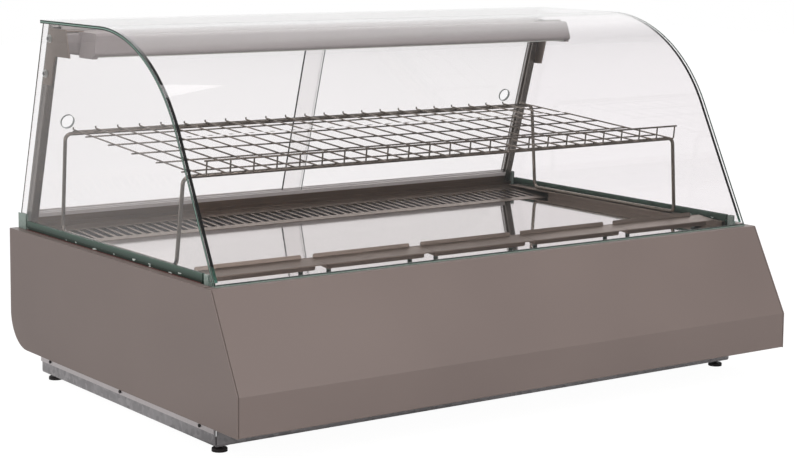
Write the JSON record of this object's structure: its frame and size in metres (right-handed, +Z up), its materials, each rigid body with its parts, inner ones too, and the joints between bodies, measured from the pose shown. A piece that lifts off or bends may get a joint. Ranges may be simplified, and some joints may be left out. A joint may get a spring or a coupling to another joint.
{
  "type": "refrigerated countertop display case",
  "caption": "Countertop refrigerated display case with curved front glass, wire shelf on a rod stand, lamp canopy, mirror deck, sliding rear glass doors and levelling feet.",
  "frame": {"origin": "on the floor plane, at the middle of the bounding box in plan", "axes": "+X along the case to the right seen from the customer side, +Y from the customer side to the server side, +Z up"},
  "size_m": [1.2, 0.81, 0.664],
  "materials": {
    "galvanised_steel": "spangled galvanised sheet, dull",
    "black_plastic": "black moulded foot",
    "black_steel": "blackened pan head screw",
    "taupe_paint": "smooth semi-gloss powder coat",
    "foam_insulation": "rigid foam",
    "liner_steel": "plain stainless sheet",
    "mirror_steel": "mirror polished stainless sheet",
    "brushed_steel": "satin stainless sheet",
    "aluminium_profile": "satin anodised extrusion",
    "green_profile": "clear green moulded glass bed",
    "sill_steel": "satin stainless profile",
    "clear_plastic": "clear clip",
    "clear_glass": "clear float glass with green edges",
    "canopy_paint": "light grey coated aluminium",
    "lamp_lens": "frosted lamp lens",
    "bright_steel": "zinc plated nut",
    "polished_wire": "polished steel wire",
    "black_enamel": "black enamelled shell",
    "fin_aluminium": "thin fin stock",
    "shroud_steel": "galvanised sheet",
    "fan_plastic": "moulded fan",
    "copper_pipe": "drawn copper pipe",
    "switch_plastic": "black moulding",
    "key_plastic": "grey key cap"
  },
  "bodies": {
    "case": {"base_pan": "galvanised_steel", "body_screws": "black_steel", "bracket_bolts": "bright_steel", "canopy_brackets": "brushed_steel", "canopy_ends": "canopy_paint", "chassis_frame": "galvanised_steel", "compressor": "black_enamel", "condenser_coil": "fin_aluminium", "condenser_shroud": "shroud_steel", "controller_case": "switch_plastic", "display_deck": "mirror_steel", "door_track_bottom": "aluminium_profile", "door_track_top": "aluminium_profile", "drain_tray": "liner_steel", "end_panel_left": "taupe_paint", "end_panel_right": "taupe_paint", "evaporator_coil": "fin_aluminium", "evaporator_fan_mount": "shroud_steel", "front_glass": "clear_glass", "front_glass_seal": "clear_plastic", "front_panel": "taupe_paint", "front_plate_1": "brushed_steel", "front_plate_2": "brushed_steel", "front_plate_3": "brushed_steel", "front_plate_4": "brushed_steel", "front_plate_5": "brushed_steel", "glass_channel_left": "green_profile", "glass_channel_right": "green_profile", "glass_clips": "clear_plastic", "lamp_canopy": "canopy_paint", "lamp_diffuser": "lamp_lens", "rear_grille": "brushed_steel", "rear_panel": "taupe_paint", "rear_post_left": "aluminium_profile", "rear_post_right": "aluminium_profile", "rear_sill": "sill_steel", "refrigerant_pipes": "copper_pipe", "shelf_grid": "polished_wire", "shelf_stand": "polished_wire", "side_glass_left": "clear_glass", "side_glass_right": "clear_glass", "side_ledge_left": "brushed_steel", "side_ledge_right": "brushed_steel", "switch_frames": "switch_plastic", "tank_insulation": "foam_insulation", "tank_liner": "liner_steel", "tank_supports": "galvanised_steel"},
    "foot_front_left": {"foot_front_left": "black_plastic"},
    "foot_front_right": {"foot_front_right": "black_plastic"},
    "foot_rear_left": {"foot_rear_left": "black_plastic"},
    "foot_rear_right": {"foot_rear_right": "black_plastic"},
    "door_left": {"door_left": "clear_glass"},
    "door_right": {"door_right": "clear_glass"},
    "condenser_fan": {"condenser_fan": "fan_plastic"},
    "evaporator_fan": {"evaporator_fan": "fan_plastic"},
    "controller_key_1": {"controller_key_1": "key_plastic"},
    "controller_key_2": {"controller_key_2": "key_plastic"},
    "controller_key_3": {"controller_key_3": "key_plastic"},
    "power_switch": {"power_switch": "switch_plastic"},
    "light_switch": {"light_switch": "switch_plastic"}
  },
  "joints": [
    {"name": "foot_front_left_level", "type": "slide", "parent": "case", "child": "foot_front_left", "axis": [0, 0, 1], "range_m": [-0.006, 0.005]},
    {"name": "foot_front_right_level", "type": "slide", "parent": "case", "child": "foot_front_right", "axis": [0, 0, 1], "range_m": [-0.006, 0.005]},
    {"name": "foot_rear_left_level", "type": "slide", "parent": "case", "child": "foot_rear_left", "axis": [0, 0, 1], "range_m": [-0.006, 0.005]},
    {"name": "foot_rear_right_level", "type": "slide", "parent": "case", "child": "foot_rear_right", "axis": [0, 0, 1], "range_m": [-0.006, 0.005]},
    {"name": "door_left_slide", "type": "slide", "parent": "case", "child": "door_left", "axis": [1, 0, 0], "range_m": [0, 0.526]},
    {"name": "door_right_slide", "type": "slide", "parent": "case", "child": "door_right", "axis": [-1, 0, 0], "range_m": [0, 0.535]},
    {"name": "condenser_fan_spin", "type": "hinge", "parent": "case", "child": "condenser_fan", "pos_m": [0.41, 0.28, 0.135], "axis": [0, 1, 0], "continuous": true},
    {"name": "evaporator_fan_spin", "type": "hinge", "parent": "case", "child": "evaporator_fan", "pos_m": [0.06, 0.095, 0.19], "axis": [0, 1, 0], "continuous": true},
    {"name": "key_1_press", "type": "slide", "parent": "case", "child": "controller_key_1", "axis": [0, -1, 0], "range_m": [0, 0.0008], "stiffness_N_per_m": 400, "springref_m": -0.0008},
    {"name": "key_2_press", "type": "slide", "parent": "case", "child": "controller_key_2", "axis": [0, -1, 0], "range_m": [0, 0.0008], "stiffness_N_per_m": 400, "springref_m": -0.0008},
    {"name": "key_3_press", "type": "slide", "parent": "case", "child": "controller_key_3", "axis": [0, -1, 0], "range_m": [0, 0.0008], "stiffness_N_per_m": 400, "springref_m": -0.0008},
    {"name": "power_switch_tilt", "type": "hinge", "parent": "case", "child": "power_switch", "pos_m": [0.17, 0.39175, 0.205], "axis": [1, 0, 0], "range_deg": [-16, 0]},
    {"name": "light_switch_tilt", "type": "hinge", "parent": "case", "child": "light_switch", "pos_m": [0.208, 0.39175, 0.205], "axis": [1, 0, 0], "range_deg": [-16, 0]}
  ]
}
